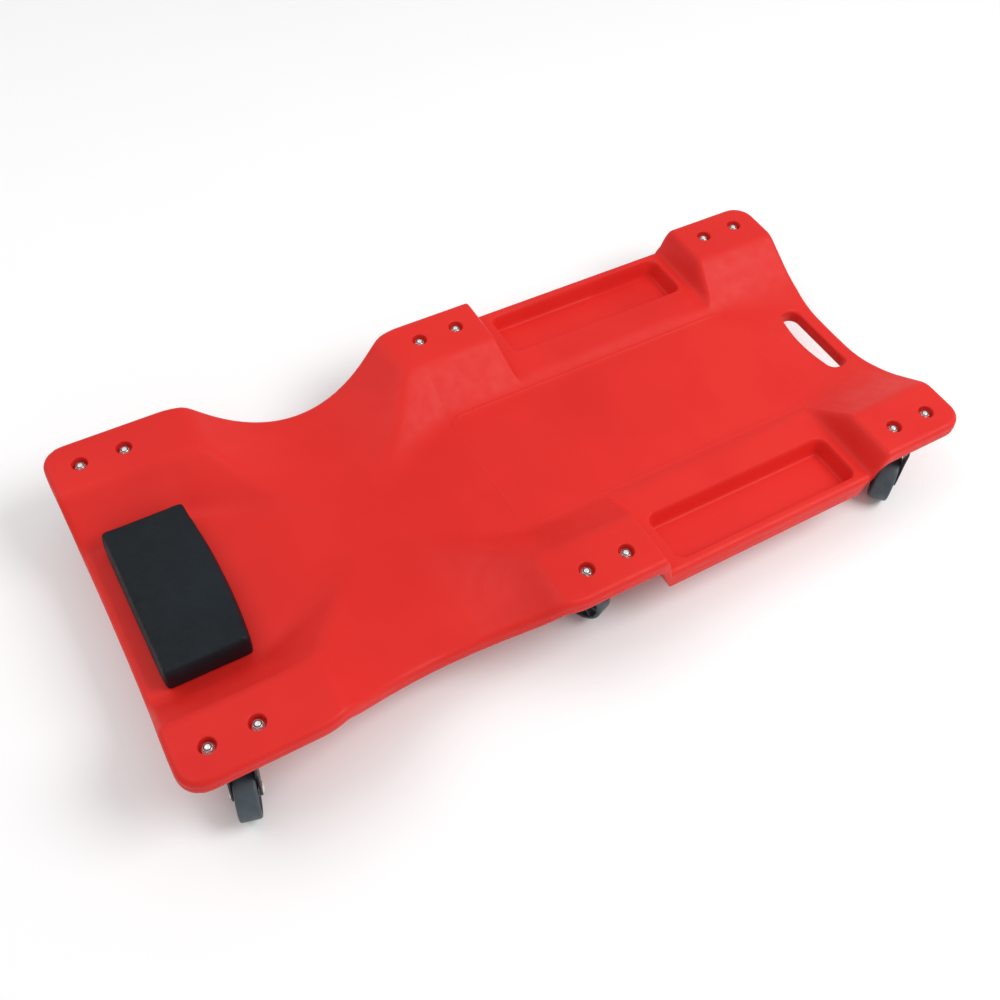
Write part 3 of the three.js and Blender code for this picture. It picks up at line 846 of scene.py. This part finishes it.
def kingpin_mesh():
    """The rivet that the fork turns on, from its head under the fork's top to the plate's top."""
    under = fork_high - PIN_DEPTH
    pin = turned_piece("pin", [
        (0, under - 2.6), (3.4, under - 2.5), (6.4, under - 1.9), (8.1, under - 1),
        (8.5, under - 0.4), (8.5, under), (5, under), (5, PLATE_TOP - 0.6), (4.4, PLATE_TOP),
        (0, PLATE_TOP)])
    return finish_mesh(pin, ZINC)


def hexagon(across, z):
    radius = across / 2 / math.cos(math.pi / 6)
    return circle(radius, z, 6)


def bolt_mesh(low, high):
    """A hexagon head bolt with a rounded end, and the last turns of its thread."""
    head = 4.0
    body = new_piece("bolt", *loops_mesh([
        hexagon(8.9, low), hexagon(9.7, low + 0.35), hexagon(10, low + 0.8),
        hexagon(10, low + head)]))
    profile = [(3, low + head - 1)]
    z = high - 7.5
    while z < high - 1.2:
        profile += [(3, z), (2.65, z + 0.45), (2.65, z + 0.55), (3, z + 0.95)]
        z += 1.0
    profile += [(2.8, high - 0.5), (2.2, high - 0.1), (0, high)]
    combine(body, turned_piece("shank", profile, 20), "UNION")
    return finish_mesh(body, ZINC, 30)


def nut_mesh(low, high):
    """A flanged locknut: a wide flange, six flats and a round collar on top."""
    flats = new_piece("nut", *loops_mesh([
        hexagon(10, low + 0.5), hexagon(10, high - 2.2), hexagon(9.3, high - 1.6),
        hexagon(8.4, high - 1.4)]))
    flange = turned_piece("flange", [
        (6.3, low), (6.8, low + 0.2), (6.9, low + 0.6), (6.6, low + 1.0), (5.8, low + 1.5),
        (4.6, low + 2.2), (4, low + 2.3)], 40)
    combine(flats, flange, "UNION")
    collar = turned_piece("collar", [
        (4.0, high - 3), (4.85, high - 2.6), (4.85, high - 0.7), (4.7, high - 0.2),
        (4.45, high)], 40)
    combine(flats, collar, "UNION")
    well = turned_piece("well", [(4.35, high - 1.3), (4.45, high + 1)], 40)
    combine(flats, well, "DIFFERENCE")
    combine(flats, turned_piece("bore", [(3.15, low - 1), (3.15, high + 1)], 32), "DIFFERENCE")
    return finish_mesh(flats, ZINC, 30)


def insert_mesh(high):
    """The nylon ring held in a locknut's collar."""
    profile = [(3.12, high - 1.2), (4.3, high - 1.2), (4.3, high - 0.3), (4.0, high - 0.1),
               (3.4, high - 0.15), (3.12, high - 0.4)]
    loops = [circle(r, z, 40) for r, z in profile]
    return finish_mesh(new_piece("insert", *ring_mesh(loops)), NYLON)


def centre_of(node):
    low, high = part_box(node)
    return Matrix.Translation(((low.x + high.x) / 2, (low.y + high.y) / 2, 0))


def make_casters():
    plate, fork, wheel = plate_mesh(), fork_mesh(), wheel_mesh()
    axle, pin = axle_mesh(), kingpin_mesh()
    bolt_low, bolt_high = (c.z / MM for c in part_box("head_right_bolt_a"))
    nut_low, nut_high = (c.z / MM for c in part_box("head_right_nut_a"))
    bolt, nut = bolt_mesh(bolt_low, bolt_high), nut_mesh(nut_low, nut_high)
    insert = insert_mesh(nut_high)
    for key in (f"{place}_{hand}" for place in PLACES for hand in HANDS):
        pivot = joint_at[f"{key}_swivel_turn"]
        trail = joint_at[f"{key}_wheel_roll"] - pivot
        still = Matrix.Translation((pivot.x, pivot.y, 0))
        turned = still @ Matrix.Rotation(math.atan2(trail.y, trail.x), 4, "Z")
        place_copy(f"{key}_plate_shell", plate, still, "bracket", "board", f"{key}_plate")
        place_copy(f"{key}_kingpin_shell", pin, still, "zinc", "board", f"{key}_kingpin")
        place_copy(f"{key}_fork_shell", fork, turned, "bracket", f"{key}_swivel", f"{key}_fork")
        place_copy(f"{key}_axle_shell", axle, turned, "zinc", f"{key}_swivel", f"{key}_axle")
        place_copy(f"{key}_wheel_shell", wheel, turned, "wheel", f"{key}_roller", f"{key}_wheel")
        for end in "ab":
            spot = centre_of(f"{key}_nut_{end}")
            place_copy(f"{key}_bolt_{end}_shell", bolt, spot, "zinc", "board", f"{key}_bolt_{end}")
            place_copy(f"{key}_nut_{end}_shell", nut, spot, "zinc", "board", f"{key}_nut_{end}")
            place_copy(f"{key}_insert_{end}", insert, spot, "bracket", "board")


make_casters()


# ------------------------------------------------------------------ headrest

rest_low, rest_high = (Vector(c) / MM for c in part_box("headrest_pad"))
base_low, base_high = (Vector(c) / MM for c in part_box("headrest_board"))
REST_BOW = 6
REST_X = (rest_low.x + rest_high.x - REST_BOW) / 2
REST_HALF_X = (rest_high.x - rest_low.x - REST_BOW) / 2
REST_HALF_Y = rest_high.y


def make_headrest_base():
    """The board inside the headrest, which the cushion is wrapped over."""
    half_x, half_y = (base_high.x - base_low.x) / 2, base_high.y
    low, high = base_low.z, base_high.z
    loops = [rounded_outline(half_x - inset, half_y - inset, 8 - inset, z) for inset, z in (
        (0.8, low), (0, low + 0.8), (0, high - 0.8), (0.8, high))]
    verts, faces = loops_mesh(loops)
    centre = np.array([(base_low.x + base_high.x) / 2, 0, 0])
    base = new_piece("headrest_base", verts + centre, faces)
    dress(base, BOARD, "board", "board", "headrest_board")


def cushion_block():
    """The cushion before it is filled out, from its turned-in lower edge to its top."""
    low, high = rest_low.z + 0.5, rest_high.z - 1.0
    half_y = REST_HALF_Y + 2
    steps = [(4, low), (0.8, low), (0.2, low + 1), (0, low + 3), (0, high - 2.4),
             (0.3, high - 0.9), (1.0, high - 0.2), (2.4, high)]
    loops = []
    for inset, z in steps:
        radius = 3.2 - 0.5 * inset
        loops.append(rounded_outline(REST_HALF_X - inset, half_y - inset, radius, z, REST_BOW))
    verts, faces = loops_mesh(loops)
    return new_piece("headrest_cushion", verts + np.array([REST_X, 0, 0]), faces)


def fill_out(piece, pressure=4.0, frames=20, cap_mm=1.2):
    """Fills a cushion out as cloth under pressure, and limits how far any point moves."""
    remesh = piece.modifiers.new("remesh", "REMESH")
    remesh.mode = "VOXEL"
    remesh.voxel_size = 0.004
    remesh.adaptivity = 0
    apply_modifiers(piece)
    rest = np.array([v.co for v in piece.data.vertices])
    low = rest[:, 2].min()
    held = piece.vertex_groups.new(name="held")
    held.add([i for i, z in enumerate(rest[:, 2]) if z < low + 0.003], 1.0, "REPLACE")
    cloth = piece.modifiers.new("cloth", "CLOTH")
    cloth.settings.quality = 6
    cloth.settings.mass = 0.4
    cloth.settings.tension_stiffness = 25
    cloth.settings.compression_stiffness = 12
    cloth.settings.shear_stiffness = 8
    cloth.settings.bending_stiffness = 0.6
    cloth.settings.use_pressure = True
    cloth.settings.uniform_pressure_force = pressure
    cloth.settings.vertex_group_mass = "held"
    cloth.settings.effector_weights.gravity = 0
    cloth.point_cache.frame_start = 1
    cloth.point_cache.frame_end = frames
    scene = bpy.context.scene
    for frame_number in range(1, frames + 1):
        scene.frame_set(frame_number)
        bpy.context.view_layer.update()
    apply_modifiers(piece)
    scene.frame_set(1)
    moved = np.array([v.co for v in piece.data.vertices])
    shift = moved - rest
    length = np.maximum(np.linalg.norm(shift, axis=1, keepdims=True), 1e-9)
    cap = cap_mm * MM
    capped = rest + shift * np.minimum(1, cap * np.tanh(length / cap) / length)
    piece.data.vertices.foreach_set("co", capped.astype(np.float32).ravel())
    piece.data.update()


def add_wrinkles(piece):
    """Fine creases across the top and round the sides, drawn in towards the corners."""
    piece.modifiers.new("smooth", "SUBSURF").levels = 1
    apply_modifiers(piece)
    co = np.array([v.co for v in piece.data.vertices]) / MM
    x, y, z = co[:, 0] - REST_X, co[:, 1], co[:, 2]
    high = co[:, 2].max()
    on_top = np.clip((z - high + 6) / 4, 0, 1)
    fade = np.clip(1 - (np.abs(x) / (REST_HALF_X + 4)) ** 4, 0, 1)
    creases = np.zeros(len(co))
    rng = np.random.default_rng(7)
    for centre in np.linspace(-88, 88, 23):
        place = centre + rng.uniform(-3, 3)
        lean = rng.uniform(-0.06, 0.06)
        width = rng.uniform(1.1, 2.0)
        depth = rng.uniform(0.15, 0.5)
        start, end = sorted(rng.uniform(-52, 52, 2))
        along = np.clip((x - start) / 14, 0, 1) * np.clip((end - x) / 14, 0, 1)
        creases += depth * along * np.exp(-((y - place - lean * x) / width) ** 2)
    near_end = np.exp(-((np.abs(y) - REST_HALF_Y) / 16) ** 2)
    near_side = np.exp(-((np.abs(x) - REST_HALF_X) / 16) ** 2)
    gather = near_end * near_side * np.sin(np.arctan2(y, x) * 60) * 0.35
    co[:, 2] -= on_top * fade * creases + np.clip((z - rest_low.z) / 8, 0, 1) * gather
    co[:, 2] = np.minimum(co[:, 2], rest_high.z + 0.6)
    piece.data.vertices.foreach_set("co", (co * MM).astype(np.float32).ravel())
    piece.data.update()


def make_cushion():
    cushion = cushion_block()
    fill_out(cushion)
    add_wrinkles(cushion)
    shade(cushion.data, 80)
    dress(cushion, VINYL, "vinyl", "board", "headrest_pad")


def make_headrest_screws():
    for hand in HANDS:
        low, high = (Vector(c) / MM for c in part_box(f"headrest_screw_{hand}"))
        under = low.z + 2.6
        screw = turned_piece("screw", [
            (0, low.z), (2.6, low.z + 0.15), (4.3, low.z + 0.8), (5, low.z + 1.7), (5, under),
            (2.4, under), (2.4, high.z - 2), (0, high.z)])
        for half_x, half_y in ((2.6, 0.5), (0.5, 2.6)):
            slot = [(sx * half_x, sy * half_y) for sx, sy in ((1, 1), (-1, 1), (-1, -1), (1, -1))]
            loops = [[(x, y, z) for x, y in slot] for z in (low.z - 1, low.z + 1.3)]
            combine(screw, new_piece("recess", *loops_mesh(loops)), "DIFFERENCE")
        shade(screw.data, SHARP_ANGLE)
        screw.matrix_world = centre_of(f"headrest_screw_{hand}")
        screw.name = f"headrest_screw_{hand}_shell"
        dress(screw, ZINC, "zinc", "board", f"headrest_screw_{hand}")


make_headrest_base()
make_cushion()
make_headrest_screws()


# ------------------------------------------------------------------ camera, light and floor

def make_camera():
    """Above the head end's right-hand corner, looking down along the board."""
    azimuth, elevation, roll = math.radians(-33.225), math.radians(52.519), math.radians(4.292)
    back = Vector((math.sin(azimuth) * math.cos(elevation),
                   -math.cos(azimuth) * math.cos(elevation), math.sin(elevation)))
    level = Vector((0, 0, 1)).cross(back).normalized()
    upward = back.cross(level)
    right = level * math.cos(roll) + upward * math.sin(roll)
    up = upward * math.cos(roll) - level * math.sin(roll)
    data = bpy.data.cameras.new("camera")
    data.sensor_width = 36
    data.lens = 41.484
    camera = bpy.data.objects.new("camera", data)
    bpy.context.scene.collection.objects.link(camera)
    matrix = Matrix((right, up, back)).transposed().to_4x4()
    matrix.translation = Vector((-0.50929, -0.74531, PAD_TOP * MM + 1.04909))
    camera.matrix_world = matrix
    bpy.context.scene.camera = camera


def area_light(name, place, target, size, power):
    data = bpy.data.lights.new(name, "AREA")
    data.shape = "DISK"
    data.size = size
    data.energy = power
    light = bpy.data.objects.new(name, data)
    light.location = place
    light.rotation_euler = (Vector(target) - Vector(place)).to_track_quat("-Z", "Y").to_euler()
    bpy.context.scene.collection.objects.link(light)


def make_stage():
    bpy.ops.mesh.primitive_plane_add(size=14, location=(0, 0, 0))
    floor = bpy.context.object
    floor.name = "floor"
    n = Nodes("pale_floor")
    n.colour(n.blend_colours(n.noise(3, 2), (0.96, 0.96, 0.96), (0.98, 0.98, 0.98)))
    n.set(Roughness=0.9)
    floor.data.materials.append(n.material)
    world = bpy.data.worlds.new("studio")
    bpy.context.scene.world = world
    world.use_nodes = True
    background = world.node_tree.nodes["Background"]
    background.inputs["Color"].default_value = (1, 1, 1, 1)
    background.inputs["Strength"].default_value = 0.6
    bpy.context.scene.view_settings.view_transform = "Standard"
    area_light("key", (1.6, -1.2, 2.4), (0, 0, 0.1), 1.8, 50)
    area_light("fill", (-1.4, 1.0, 2.4), (0, 0, 0.1), 2.2, 18)


make_camera()
make_stage()
